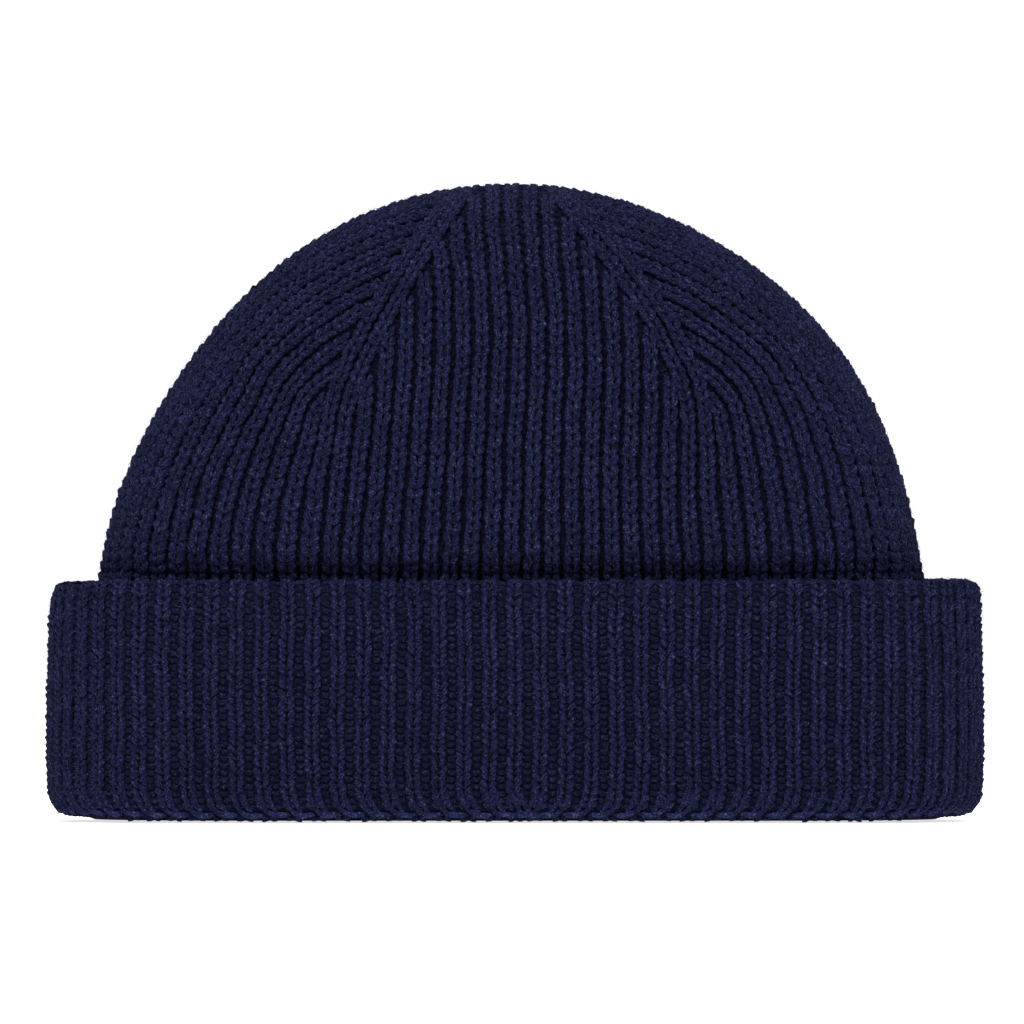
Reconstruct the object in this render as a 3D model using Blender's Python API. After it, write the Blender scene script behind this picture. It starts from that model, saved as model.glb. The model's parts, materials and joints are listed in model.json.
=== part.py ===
"""Fisherman beanie: a ribbed knitted hat that stands on the fold of its turned-up cuff.

Metres, +Z up, front towards -Y, origin on the floor under the middle of the hat. The crown is a
flat-fronted dome of vertical ribs. Four shaped lines, two on the front and two on the back, run
from the shoulders to the top, and ribs end along them. The cuff is a second ring of ribs around
the crown's lower band, closed under it by the fold.
"""
import bpy
import bmesh
import math
from mathutils import Vector

# Crown: the outline seen from the front, and its depth
HAT_HEIGHT = 0.1594
CROWN_HALF_WIDTH = 0.1045
DOME_START = 0.040
DOME_FULLNESS = 2.12
DOME_ROUNDNESS = 0.507
CROWN_HALF_DEPTH = 0.0385
DEPTH_LOST_AT_TOP = 0.006
CROWN_ROLL = 0.042
BAND_FLARE = 0.0055
FRONT_FLARE_SHARE = 0.4
CROWN_SWAY = 0.00095
SWAY_POWER = 1.3
ROLL_POWER = 2.3

# Knit
WALL = 0.0038
RIB_DEPTH = 0.0014
FRONT_RIBS = 19
SIDE_RIBS = 27
RIB_PITCH_BASE = 0.0050
RIB_PITCH_CROWN = 0.00465
PITCH_SETTLES = 0.59
NARROWEST_RIB = 0.0010

# Shaped lines, where ribs end
SHAPING_START = 0.098
SHAPING_BEND = 1.5
TOP_HALF_GAP = 0.0120
RIDGE_DROP_POWER = 6

# Cuff
CUFF_HEIGHT = 0.0605
CUFF_WALL = 0.0039
CUFF_ROLL = 0.048
CUFF_SIDE_SPREAD = 0.0128
CUFF_FRONT_EASE = 0.0010
FOLD_HEIGHT = 0.0042
SEAT_GAP = 0.0003

# Colour of the navy yarn, as linear light
NAVY = (0.0098, 0.0112, 0.0315)
YARN_ROUGHNESS = 0.95

# Rows of the crown's surface, as heights on the centre line: shares of the band up to the cuff's
# top edge, then shares of the dome above it
BAND_ROWS = (0.0, 0.38, 0.80)
DOME_ROWS = (0.05, 0.15, 0.26, 0.38, 0.50, 0.61, 0.71, 0.80, 0.88, 0.94, 0.975, 0.993)

# The cuff's section, from the floor up the outside and down the inside. Inset is a share of the
# wall, fold a share of the fold's height, rise a share of the height above it, relief a share of
# the rib's depth
CUFF_SECTION = (
    {"inset": 1.30, "fold": 0.00, "rise": 0.000, "relief": 0.0},
    {"inset": 0.55, "fold": 0.30, "rise": 0.000, "relief": 0.5},
    {"inset": 0.17, "fold": 1.00, "rise": 0.000, "relief": 1.0},
    {"inset": 0.00, "fold": 1.00, "rise": 0.250, "relief": 1.0},
    {"inset": 0.08, "fold": 1.00, "rise": 0.640, "relief": 1.0},
    {"inset": 0.17, "fold": 1.00, "rise": 0.900, "relief": 1.0},
    {"inset": 0.30, "fold": 1.00, "rise": 0.970, "relief": 0.6},
    {"inset": 0.62, "fold": 1.00, "rise": 1.000, "relief": 0.1},
)
CUFF_LINING = (
    {"inset": 1.00, "fold": 1.00, "rise": 0.965},
    {"inset": 1.00, "fold": 1.00, "rise": 0.400},
    {"inset": 1.00, "fold": 1.00, "rise": 0.000},
)
FOLD_EDGE = (
    {"inset": 0.00, "fold": 1.00, "rise": 0.000},
    {"inset": 0.00, "fold": 0.00, "rise": 0.000},
)

# Fineness of the curves that the ribs are placed along; crowding is towards the top or the edge
OUTLINE_STEPS = 360
OUTLINE_CROWDING = 2.4
OUTLINE_BELOW_FLOOR = 0.2
ROLL_STEPS = 48
ROLL_CROWDING = 2.5
MERGE_DISTANCE = 0.00002


def clear_scene():
    """Remove the objects that a new scene starts with."""
    for item in list(bpy.data.objects):
        bpy.data.objects.remove(item, do_unlink=True)


def mix(low, high, share):
    """Blend two values."""
    return low + (high - low) * share


def ease(low, high, value):
    """Rise smoothly from 0 to 1 while the value goes from low to high."""
    share = min(max((value - low) / (high - low), 0.0), 1.0)
    return share * share * (3.0 - 2.0 * share)


# The crown's shape

def band_flare(height):
    """Return how far the band inside the cuff spreads towards the fold."""
    share = min(max(1.0 - height / CUFF_HEIGHT, 0.0), 1.0 + OUTLINE_BELOW_FLOOR)
    return BAND_FLARE * share * share


def crown_half_width(height):
    """Return the crown's half width at a height, seen from the front."""
    share = min(max((height - DOME_START) / (HAT_HEIGHT - DOME_START), 0.0), 1.0)
    dome = CROWN_HALF_WIDTH * (1.0 - share ** DOME_FULLNESS) ** DOME_ROUNDNESS
    return dome + band_flare(height)


def crown_half_depth(height):
    """Return the crown's half depth at a height, where it is flat."""
    share = max((height - CUFF_HEIGHT) / (HAT_HEIGHT - CUFF_HEIGHT), 0.0)
    dome = CROWN_HALF_DEPTH - DEPTH_LOST_AT_TOP * share * share
    return dome + FRONT_FLARE_SHARE * band_flare(height)


def crown_outline():
    """Return the right half of the front outline as (x, z), from below the floor to the top."""
    points = []
    below = -OUTLINE_BELOW_FLOOR * CUFF_HEIGHT
    for step in range(OUTLINE_STEPS + 1):
        turn = 0.5 * math.pi * step / OUTLINE_STEPS
        height = mix(below, HAT_HEIGHT, 1.0 - math.cos(turn) ** OUTLINE_CROWDING)
        points.append((crown_half_width(height), height))
    return points


OUTLINE = crown_outline()


def nearest_outline(x, z):
    """Return the outline's nearest point to (x, z), and the distance to it."""
    best_distance = 1.0
    best_point = OUTLINE[0]
    for (ax, az), (bx, bz) in zip(OUTLINE, OUTLINE[1:]):
        run_x = bx - ax
        run_z = bz - az
        length_squared = run_x * run_x + run_z * run_z
        share = ((x - ax) * run_x + (z - az) * run_z) / length_squared
        share = min(max(share, 0.0), 1.0)
        point = (ax + share * run_x, az + share * run_z)
        distance = math.hypot(x - point[0], z - point[1])
        if distance < best_distance:
            best_distance = distance
            best_point = point
    return best_point, best_distance


def rolled_depth(inside, roll):
    """Return the share of the full depth at a distance inside an outline."""
    share = min(max(inside / roll, 0.0), 1.0)
    return (1.0 - (1.0 - share) ** ROLL_POWER) ** (1.0 / ROLL_POWER)


def crown_point(x, z):
    """Return the crown's surface point on the front right quarter, and its outward direction."""
    foot, inside = nearest_outline(x, z)
    half_depth = crown_half_depth(z)
    depth_share = rolled_depth(inside, CROWN_ROLL)
    edge_share = 1.0 - min(inside / CROWN_ROLL, 1.0)
    outward = Vector((foot[0] - x, 0.0, foot[1] - z))
    if inside < MERGE_DISTANCE:
        outward = outline_direction(foot)
    outward.normalize()
    normal = outward * (edge_share ** (ROLL_POWER - 1.0) / CROWN_ROLL)
    normal.y = -depth_share ** (ROLL_POWER - 1.0) / half_depth
    return Vector((x, -half_depth * depth_share, z)), normal.normalized()


def outline_direction(point):
    """Return the direction that points straight out of the outline at one of its points."""
    step = 0.02 * NARROWEST_RIB
    low = point[1] - step
    high = min(point[1] + step, HAT_HEIGHT)
    if high >= HAT_HEIGHT - step:
        low = HAT_HEIGHT - 2.0 * step
        if point[0] < step:
            return Vector((0.0, 0.0, 1.0))
    narrowing = crown_half_width(low) - crown_half_width(high)
    return Vector((high - low, 0.0, narrowing))


# Where the ribs run

def rib_pitch(height):
    """Return the pitch of the front ribs at a height."""
    share = min(max((height - CUFF_HEIGHT) / (HAT_HEIGHT - CUFF_HEIGHT), 0.0), 1.0)
    return mix(RIB_PITCH_BASE, RIB_PITCH_CROWN, min(share / PITCH_SETTLES, 1.0))


def shaped_line(height):
    """Return where the shaped line stands, as (x, z), for a height on the centre line."""
    start = 0.5 * FRONT_RIBS * rib_pitch(SHAPING_START)
    if height <= SHAPING_START:
        return 0.5 * FRONT_RIBS * rib_pitch(height), height
    share = (height - SHAPING_START) / (HAT_HEIGHT - SHAPING_START)
    across = mix(start, TOP_HALF_GAP, share ** SHAPING_BEND)
    top_height = outline_height(TOP_HALF_GAP)
    drop = (HAT_HEIGHT - top_height) * share ** RIDGE_DROP_POWER
    return across, height - drop


def outline_height(x):
    """Return the outline's height at a half width near the top."""
    for (ax, az), (bx, bz) in zip(reversed(OUTLINE[:-1]), reversed(OUTLINE)):
        if ax >= x >= bx:
            return mix(bz, az, (x - bx) / (ax - bx))
    return HAT_HEIGHT


def row_end(line_point):
    """Return where a row that crosses the shaped line meets the side's centre line."""
    x, z = line_point
    nearest, _ = nearest_outline(x, z)
    share = ease(CUFF_HEIGHT, SHAPING_START, z)
    height = mix(z, nearest[1], share)
    if share >= 1.0:
        return nearest
    return crown_half_width(height), height


def front_columns(height):
    """List (share across the front, relief) from the centre rib's crest to the shaped line."""
    line_x, _ = shaped_line(height)
    frame_x = line_x - rib_pitch(min(height, SHAPING_START))
    columns = []
    for step in range(FRONT_RIBS - 2):
        x = 0.5 * rib_pitch(height) * step
        relief = float(step % 2)
        if x > frame_x - NARROWEST_RIB:
            x = frame_x
            relief = 1.0
        columns.append((x / line_x, relief))
    columns.append((frame_x / line_x, 1.0))
    columns.append((0.5 * (frame_x + line_x) / line_x, 0.0))
    columns.append((1.0, 1.0))
    return columns


def side_columns(length, full_length):
    """List (arc distance, relief) from the side's centre rib to the shaped line."""
    pitch = max(length, full_length) / (0.5 * SIDE_RIBS)
    frame = max(length - pitch, 0.0)
    columns = []
    for step in range(SIDE_RIBS - 2):
        distance = 0.5 * pitch * step
        relief = float(step % 2)
        if distance > frame - NARROWEST_RIB:
            distance = frame
            relief = 1.0
        columns.append((distance, relief))
    columns.append((frame, 1.0))
    columns.append((0.5 * (frame + length), 0.0))
    return columns


def side_run(line_point):
    """Sample a row from the side's centre line to the shaped line, with its arc distances."""
    end = row_end(line_point)
    samples = []
    distance = 0.0
    last = None
    for step in range(ROLL_STEPS + 1):
        share = (step / ROLL_STEPS) ** ROLL_CROWDING
        x = mix(end[0], line_point[0], share)
        z = mix(end[1], line_point[1], share)
        point, _ = crown_point(x, z)
        if step == 0:
            point.y = 0.0
        if last is not None:
            distance += (point - last).length
        samples.append((distance, share))
        last = point
    return end, samples


def share_at(samples, distance):
    """Return the share of a row at an arc distance."""
    for (low, low_share), (high, high_share) in zip(samples, samples[1:]):
        if distance <= high and high > low:
            return mix(low_share, high_share, (distance - low) / (high - low))
    return samples[-1][1]


def crown_row(height, full_length):
    """List (surface point, outward direction, relief) along a quarter row, front to side."""
    line_x, line_z = shaped_line(height)
    row = []
    for share, relief in front_columns(height):
        x = share * line_x
        z = mix(height, line_z, share * share)
        row.append((*crown_point(x, z), relief))
    end, samples = side_run((line_x, line_z))
    length = samples[-1][0]
    for distance, relief in reversed(side_columns(length, full_length)):
        share = share_at(samples, distance)
        x = mix(end[0], line_x, share)
        z = mix(end[1], line_z, share)
        point, normal = crown_point(x, z)
        if distance == 0.0:
            point.y = 0.0
            normal.y = 0.0
        row.append((point, normal, relief))
    upright = 1.0 - ease(0.0, CUFF_HEIGHT, height)
    for _, normal, _ in row:
        normal.z *= 1.0 - upright
        normal.normalize()
    return row


def top_row():
    """List the same along the ridge over the top, where the front meets the back."""
    row = []
    for share, relief in front_columns(HAT_HEIGHT):
        x = share * TOP_HALF_GAP
        point = (x, outline_height(x))
        row.append((Vector((x, 0.0, point[1])), outline_direction(point).normalized(), relief))
    return row + [row[-1]] * SIDE_RIBS


def crown_row_heights():
    """List the heights of the crown's rows on its centre line, from the seat on the fold up."""
    seat = FOLD_HEIGHT + SEAT_GAP
    heights = [mix(seat, CUFF_HEIGHT, share) for share in BAND_ROWS]
    heights += [mix(CUFF_HEIGHT, HAT_HEIGHT, share) for share in DOME_ROWS]
    return heights


def sway(ring):
    """Shift a ring of the dome a little to one side or the other, as the soft hat stands."""
    swayed = []
    for point in ring:
        share = min(max((point.z - CUFF_HEIGHT) / (HAT_HEIGHT - CUFF_HEIGHT), 0.0), 1.0)
        aside = -math.cos(2.0 * math.pi * share ** SWAY_POWER) * ease(0.0, CUFF_HEIGHT, point.z)
        swayed.append(Vector((point.x + CROWN_SWAY * aside, point.y, point.z)))
    return swayed


# Meshes

def full_ring(quarter):
    """Mirror a quarter row, which runs from the front to the side, into a closed ring."""
    right_back = [Vector((p.x, -p.y, p.z)) for p in reversed(quarter[:-1])]
    half = quarter + right_back
    left = [Vector((-p.x, p.y, p.z)) for p in reversed(half[1:-1])]
    return half + left


def bridge(surface, lower, upper):
    """Join two rings of vertices, of which one may have twice as many as the other."""
    count = max(len(lower), len(upper))
    lower_step = count // len(lower)
    upper_step = count // len(upper)
    for start in range(0, count, max(lower_step, upper_step)):
        stop = start + max(lower_step, upper_step)
        low = [lower[(i // lower_step) % len(lower)] for i in range(start, stop + 1, lower_step)]
        high = [upper[(i // upper_step) % len(upper)] for i in range(start, stop + 1, upper_step)]
        if len(low) == len(high):
            surface.faces.new(low + high[::-1])
        elif len(low) > len(high):
            surface.faces.new((low[0], low[1], high[0]))
            surface.faces.new((low[1], high[1], high[0]))
            surface.faces.new((low[1], low[2], high[1]))
        else:
            surface.faces.new((low[0], high[1], high[0]))
            surface.faces.new((low[0], low[1], high[1]))
            surface.faces.new((low[1], high[2], high[1]))


def loft(name, rings, closed, material):
    """Make an object from rings of points; a closed one joins its last ring to its first."""
    surface = bmesh.new()
    vertex_rings = [[surface.verts.new(point) for point in ring] for ring in rings]
    for lower, upper in zip(vertex_rings, vertex_rings[1:]):
        bridge(surface, lower, upper)
    if closed:
        bridge(surface, vertex_rings[-1], vertex_rings[0])
    bmesh.ops.remove_doubles(surface, verts=surface.verts, dist=MERGE_DISTANCE)
    bmesh.ops.triangulate(surface, faces=surface.faces)
    bmesh.ops.recalc_face_normals(surface, faces=surface.faces)
    mesh = bpy.data.meshes.new(name)
    surface.to_mesh(mesh)
    surface.free()
    mesh.shade_smooth()
    mesh.set_sharp_from_angle(angle=math.radians(60.0))
    mesh.materials.append(material)
    item = bpy.data.objects.new(name, mesh)
    bpy.context.collection.objects.link(item)
    return item


def yarn_material(name, colour):
    """Make the plain matt material of the yarn."""
    material = bpy.data.materials.new(name)
    material.use_nodes = True
    shader = material.node_tree.nodes["Principled BSDF"]
    shader.inputs["Base Color"].default_value = (*colour, 1.0)
    shader.inputs["Roughness"].default_value = YARN_ROUGHNESS
    shader.inputs["Metallic"].default_value = 0.0
    return material


def build_crown():
    """Make the crown: ribbed outside, smooth inside, open at the bottom."""
    _, start_samples = side_run(shaped_line(SHAPING_START))
    full_length = start_samples[-1][0]
    rows = [crown_row(height, full_length) for height in crown_row_heights()]
    rows.append(top_row())
    outer = [full_ring([p - n * RIB_DEPTH * relief for p, n, relief in row]) for row in rows]
    inner = [full_ring([p - n * WALL for p, n, _ in row[::2]]) for row in rows]
    rings = [sway(ring) for ring in outer[::-1] + inner]
    return loft("crown", rings, False, yarn_material("crown_knit", NAVY))


def plan_quarter(half_width, half_depth, roll, steps):
    """List (point, outward direction) at equal steps along a quarter outline seen from above."""
    samples = []
    distance = 0.0
    last = None
    for step in range(ROLL_STEPS + 1):
        x = half_width * (1.0 - (step / ROLL_STEPS) ** ROLL_CROWDING)
        point = Vector((x, -half_depth * rolled_depth(half_width - x, roll), 0.0))
        if last is not None:
            distance += (point - last).length
        samples.append((distance, x))
        last = point
    quarter = []
    for step in range(steps + 1):
        x = share_at(samples, distance * (1.0 - step / steps))
        depth_share = rolled_depth(half_width - x, roll)
        edge_share = 1.0 - min((half_width - x) / roll, 1.0)
        normal = Vector((edge_share ** (ROLL_POWER - 1.0) / roll, 0.0, 0.0))
        normal.y = -depth_share ** (ROLL_POWER - 1.0) / half_depth
        quarter.append((Vector((x, -half_depth * depth_share, 0.0)), normal.normalized()))
    return quarter


def cuff_ring(quarter, row):
    """Place one ring of the cuff from a row of its section."""
    height = row["fold"] * FOLD_HEIGHT + row["rise"] * (CUFF_HEIGHT - FOLD_HEIGHT)
    points = []
    for step, (point, normal) in enumerate(quarter):
        inset = row["inset"] * CUFF_WALL + row.get("relief", 0.0) * RIB_DEPTH * (step % 2)
        placed = point - normal * inset
        points.append(Vector((placed.x, placed.y, height)))
    return full_ring(points)


def build_cuff():
    """Make the cuff: ribbed outside, smooth inside, with the fold under the crown's edge."""
    seat = FOLD_HEIGHT + SEAT_GAP
    half_width = CROWN_HALF_WIDTH + CUFF_SIDE_SPREAD
    half_depth = crown_half_depth(seat) + CUFF_FRONT_EASE + CUFF_WALL
    steps = (FRONT_RIBS + SIDE_RIBS) // 2
    outside = plan_quarter(half_width, half_depth, CUFF_ROLL, 2 * steps)
    lining = outside[::2]
    inside_width = crown_half_width(seat) - WALL
    inside_depth = crown_half_depth(seat) - WALL
    inside = plan_quarter(inside_width, inside_depth, CROWN_ROLL, steps)
    rings = [cuff_ring(outside, row) for row in CUFF_SECTION]
    rings += [cuff_ring(lining, row) for row in CUFF_LINING]
    rings += [cuff_ring(inside, row) for row in FOLD_EDGE]
    return loft("cuff", rings, True, yarn_material("cuff_knit", NAVY))


def build():
    """Make the whole hat."""
    clear_scene()
    build_crown()
    build_cuff()


build()
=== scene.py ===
import json
import math
import random

import bmesh
import bpy
import numpy as np
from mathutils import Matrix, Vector

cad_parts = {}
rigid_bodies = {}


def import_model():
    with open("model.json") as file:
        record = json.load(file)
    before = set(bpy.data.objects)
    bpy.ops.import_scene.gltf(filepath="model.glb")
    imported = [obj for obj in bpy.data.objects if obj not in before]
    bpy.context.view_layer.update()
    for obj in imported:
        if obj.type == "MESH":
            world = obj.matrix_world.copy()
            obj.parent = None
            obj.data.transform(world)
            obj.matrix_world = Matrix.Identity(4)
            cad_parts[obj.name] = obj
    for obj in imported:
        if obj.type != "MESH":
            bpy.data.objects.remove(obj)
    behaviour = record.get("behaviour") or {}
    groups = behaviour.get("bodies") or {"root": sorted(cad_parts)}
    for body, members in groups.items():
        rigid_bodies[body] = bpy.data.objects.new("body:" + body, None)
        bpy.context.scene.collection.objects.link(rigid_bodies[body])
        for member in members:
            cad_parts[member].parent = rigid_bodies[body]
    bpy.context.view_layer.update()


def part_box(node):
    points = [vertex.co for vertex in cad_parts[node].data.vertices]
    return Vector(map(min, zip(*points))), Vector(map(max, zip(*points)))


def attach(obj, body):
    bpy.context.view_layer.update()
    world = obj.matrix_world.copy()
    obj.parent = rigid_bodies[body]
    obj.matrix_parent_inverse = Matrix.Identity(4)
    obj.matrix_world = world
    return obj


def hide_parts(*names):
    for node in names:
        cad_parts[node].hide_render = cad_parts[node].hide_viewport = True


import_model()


# Crown form
# The crown is the knitted dome of the hat, heavy navy yarn in fisherman's rib. Its shape is worked
# out as a chart: a grid of rows across the fabric and columns up its ribs, for one quarter of it.

crown_low, crown_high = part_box("crown")
_, cuff_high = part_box("cuff")
top_height = crown_high[2]
cuff_top = cuff_high[2]
crown_half_width = 0.1045
dome_start = 0.040
dome_fullness = 2.12
dome_roundness = 0.507
crown_half_depth = 0.0385
depth_lost_at_top = 0.006
crown_roll = 0.042
roll_power = 2.3
band_flare = 0.0055
front_flare_share = 0.4
front_tuck = 0.0043
tuck_reach = 0.0066
tuck_below = 0.0170
front_ribs = 19
side_ribs = 27
pitch_at_base = 0.0050
pitch_on_crown = 0.00465
pitch_settles = 0.59
narrowest_rib = 0.0010
shaping_start = 0.098
shaping_bend = 1.5
top_half_gap = 0.0120
ridge_drop_power = 6
ridge_gap = 0.00002
chart_row_step = 0.0016
dome_rows = 30
dome_crowding = 0.87
dome_inside = 0.999
outline_steps = 500
outline_crowding = 2.4
outline_below_floor = 0.2
roll_steps = 60
roll_crowding = 2.5


def smooth(value):
    """Ease from 0 to 1 as the value does, level at both ends."""
    value = np.clip(value, 0.0, 1.0)
    return value * value * (3.0 - 2.0 * value)


def unit(vectors):
    return vectors / np.linalg.norm(vectors, axis=-1, keepdims=True)


def arc_along(points):
    """How far along a line each of its points is."""
    return np.append(0.0, np.cumsum(np.linalg.norm(np.diff(points, axis=0), axis=1)))


def dome_share(height):
    """How far up the dome a height is, from the cuff's top edge to the ridge."""
    return np.clip((height - cuff_top) / (top_height - cuff_top), 0.0, 1.0)


def flare(height):
    """How much wider the band is at a height than the dome above it."""
    share = np.clip(1.0 - height / cuff_top, 0.0, 1.2)
    return band_flare * share * share


def half_width(height):
    share = np.clip((height - dome_start) / (top_height - dome_start), 0.0, 1.0)
    return crown_half_width * (1.0 - share ** dome_fullness) ** dome_roundness + flare(height)


def half_depth(height):
    dome = crown_half_depth - depth_lost_at_top * dome_share(height) ** 2
    tucked = smooth((cuff_top + tuck_reach - height) / tuck_reach)
    tucked = tucked * smooth((height - cuff_top + tuck_below) / tuck_below)
    return dome + front_flare_share * flare(height) - front_tuck * tucked


outline_turn = np.linspace(0.0, 0.5 * math.pi, outline_steps)
outline_reach = top_height + outline_below_floor * cuff_top
outline_z = top_height - outline_reach * np.cos(outline_turn) ** outline_crowding
outline_x = half_width(outline_z)


def nearest_outline(x, z):
    """The nearest point of the front outline, how far it is, and which step of it that is."""
    run_x = np.diff(outline_x)
    run_z = np.diff(outline_z)
    to_x = x[:, None] - outline_x[:-1]
    to_z = z[:, None] - outline_z[:-1]
    share = np.clip((to_x * run_x + to_z * run_z) / (run_x ** 2 + run_z ** 2), 0.0, 1.0)
    foot_x = outline_x[:-1] + share * run_x
    foot_z = outline_z[:-1] + share * run_z
    distance = np.hypot(x[:, None] - foot_x, z[:, None] - foot_z)
    best = np.argmin(distance, axis=1)
    pick = np.arange(len(x))
    return foot_x[pick, best], foot_z[pick, best], distance[pick, best], best


def rolled(inside, roll):
    """The share of the full depth at a distance inside an edge that rolls round to the back."""
    share = np.clip(inside / roll, 0.0, 1.0)
    return (1.0 - (1.0 - share) ** roll_power) ** (1.0 / roll_power)


def roll_slope(inside, roll):
    """How much a rolled edge faces sideways there."""
    return (1.0 - np.clip(inside / roll, 0.0, 1.0)) ** (roll_power - 1.0) / roll


def crown_surface(x, z):
    """Points on the front right quarter of the crown, and the directions out of them."""
    foot_x, foot_z, inside, best = nearest_outline(x, z)
    out_x = np.diff(outline_z)[best]
    out_z = -np.diff(outline_x)[best]
    length = np.hypot(out_x, out_z)
    depth = rolled(inside, crown_roll)
    edge = roll_slope(inside, crown_roll)
    upright = 1.0 - np.clip(z / cuff_top, 0.0, 1.0)
    normal = np.stack([out_x / length * edge,
                       -depth ** (roll_power - 1.0) / half_depth(z),
                       out_z / length * edge * (1.0 - upright)], axis=1)
    return np.stack([x, -half_depth(z) * depth, z], axis=1), unit(normal)


def front_pitch(height):
    """The pitch of the front ribs at a height."""
    share = np.minimum(dome_share(height) / pitch_settles, 1.0)
    return pitch_at_base + (pitch_on_crown - pitch_at_base) * share


def shaped_line(height):
    """Where the row that crosses the centre line at a height meets the shaped line."""
    start = 0.5 * front_ribs * front_pitch(shaping_start)
    if height <= shaping_start:
        return 0.5 * front_ribs * front_pitch(height), height
    share = (height - shaping_start) / (top_height - shaping_start)
    across = start + (top_half_gap - start) * share ** shaping_bend
    drop = top_height - np.interp(-top_half_gap, -outline_x, outline_z)
    return across, height - drop * share ** ridge_drop_power


def half_steps(count, pitch, end):
    """Steps of half a pitch up to an end, and which of them are there."""
    places = 0.5 * pitch * np.arange(count - 2)
    return np.minimum(places, end), places < end - 0.5 * narrowest_rib


def chart_row(height, start_length):
    """One row of the chart: points, directions, widths of the ribs, and which ribs are there."""
    line_x, line_z = shaped_line(height)
    pitch = front_pitch(height)
    frame_x = line_x - front_pitch(min(height, shaping_start))
    across, live = half_steps(front_ribs, pitch, frame_x)
    across = np.append(across, [frame_x, 0.5 * (frame_x + line_x), line_x])
    live = np.append(live, [True, True, True])
    heights = height + (line_z - height) * (across / line_x) ** 2
    points, normals = crown_surface(across, heights)
    widths = np.full(len(across), pitch)

    blend = smooth((line_z - cuff_top) / (shaping_start - cuff_top))
    _, near_z, _, _ = nearest_outline(np.array([line_x]), np.array([line_z]))
    end_z = line_z + (near_z[0] - line_z) * blend
    end_x = float(half_width(end_z))
    share = np.linspace(0.0, 1.0, roll_steps) ** roll_crowding
    run, _ = crown_surface(end_x + (line_x - end_x) * share, end_z + (line_z - end_z) * share)
    run[0, 1] = 0.0
    arc = arc_along(run)
    length = arc[-1]
    side_pitch = max(length, start_length) / (0.5 * side_ribs)
    side_frame = max(length - side_pitch, 0.0)
    along, side_live = half_steps(side_ribs, side_pitch, side_frame)
    along = np.append(along, [side_frame, 0.5 * (side_frame + length)])
    side_live = np.append(side_live, [True, length > 2.0 * narrowest_rib])
    place = np.interp(along, arc, share)
    side_points, side_normals = crown_surface(end_x + (line_x - end_x) * place,
                                              end_z + (line_z - end_z) * place)
    on_edge = along == 0.0
    side_points[on_edge, 1] = 0.0
    side_normals[on_edge, 1] = 0.0
    side_normals = unit(side_normals)
    side_widths = np.full(len(along), min(side_pitch, max(length, narrowest_rib)))
    return (np.concatenate([points, side_points[::-1]]),
            np.concatenate([normals, side_normals[::-1]]),
            np.concatenate([widths, side_widths[::-1]]),
            np.concatenate([live, side_live[::-1]]), length)


start_length = chart_row(shaping_start, 0.0)[4]
dome_turn = 0.5 * math.pi * np.linspace(0.0, 1.0, dome_rows)
row_heights = np.concatenate([
    np.arange(crown_low[2], top_height - crown_roll, chart_row_step),
    top_height - crown_roll * (1.0 - np.sin(dome_turn) ** dome_crowding) * dome_inside])
row_heights[-1] = top_height - ridge_gap
crown_chart = [chart_row(height, start_length) for height in row_heights]
chart_points, chart_normals, chart_widths, chart_live = [
    np.array([row[part] for row in crown_chart]) for part in range(4)]
chart_points[-1, :, 1] = 0.0
chart_normals[-1, :, 1] = 0.0
chart_normals[-1] = unit(chart_normals[-1])
columns = chart_points.shape[1]


# Crown backing
# Behind the stitches the fabric is closed: the yarn that runs across the back of the ribs. It is
# one wall from the fold up over the top, knitted inside; outside, between the ribs, it lies in
# shadow and wears a darker wool as painted shade.

crown_sway = 0.00095
sway_power = 1.3
stitch_height = 0.00275
wall = 0.0038
backing_crest = 0.0013
backing_valley = 0.0025
inside_relief = 0.0010
ridge_reach = 0.0080
valley_rise_at_ridge = 0.0019
merge_distance = 0.00002


def swayed(points):
    """Shift the dome a little to one side or the other, as the soft hat stands."""
    held = smooth(points[..., 2] / cuff_top)
    aside = -np.cos(2.0 * math.pi * dome_share(points[..., 2]) ** sway_power) * held
    moved = points.copy()
    moved[..., 0] += crown_sway * aside
    return moved


def whole_ring(quarter):
    """Mirror a quarter row, front to side, into a closed ring."""
    back = quarter[-2::-1] * (1.0, -1.0, 1.0)
    half = np.concatenate([quarter, back])
    left = half[-2:0:-1] * (-1.0, 1.0, 1.0)
    return np.concatenate([half, left])


def add_piece(name, vertices, faces, edges=()):
    """A new object with a mesh, at the origin."""
    mesh = bpy.data.meshes.new(name)
    mesh.from_pydata([tuple(v) for v in vertices], edges, faces)
    mesh.update()
    piece = bpy.data.objects.new(name, mesh)
    bpy.context.scene.collection.objects.link(piece)
    return piece


def join_rings(surface, rings, bands, uv, across, along):
    """Faces between rings of corners, mapped across by steps and along by rings."""
    count = len(rings[0])
    for band in range(bands):
        end = (band + 1) % len(rings)
        for step in range(count):
            after = (step + 1) % count
            face = surface.faces.new((rings[band][step], rings[band][after],
                                      rings[end][after], rings[end][step]))
            for loop, turn, row in zip(face.loops, (step, step + 1, step + 1, step),
                                       (band, band, end, end)):
                loop[uv].uv = (turn / across, along[row])


def ring_skin(name, rings, courses, inner_from, closed, wools):
    """A skin over rings of equal count, mapped in ribs and courses; its lining is a second slot."""
    surface = bmesh.new()
    rows = [[surface.verts.new(point) for point in ring] for ring in rings]
    fabric = surface.loops.layers.uv.new("knit")
    join_rings(surface, rows, len(rings) if closed else len(rings) - 1, fabric, 2.0, courses)
    for number, face in enumerate(surface.faces):
        face.material_index = int(number >= inner_from * len(rings[0]))
        face.smooth = True
    bmesh.ops.remove_doubles(surface, verts=surface.verts, dist=merge_distance)
    bmesh.ops.recalc_face_normals(surface, faces=surface.faces)
    piece = add_piece(name, [], [])
    surface.to_mesh(piece.data)
    surface.free()
    for wool in wools:
        piece.data.materials.append(wool)
    return piece


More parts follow.
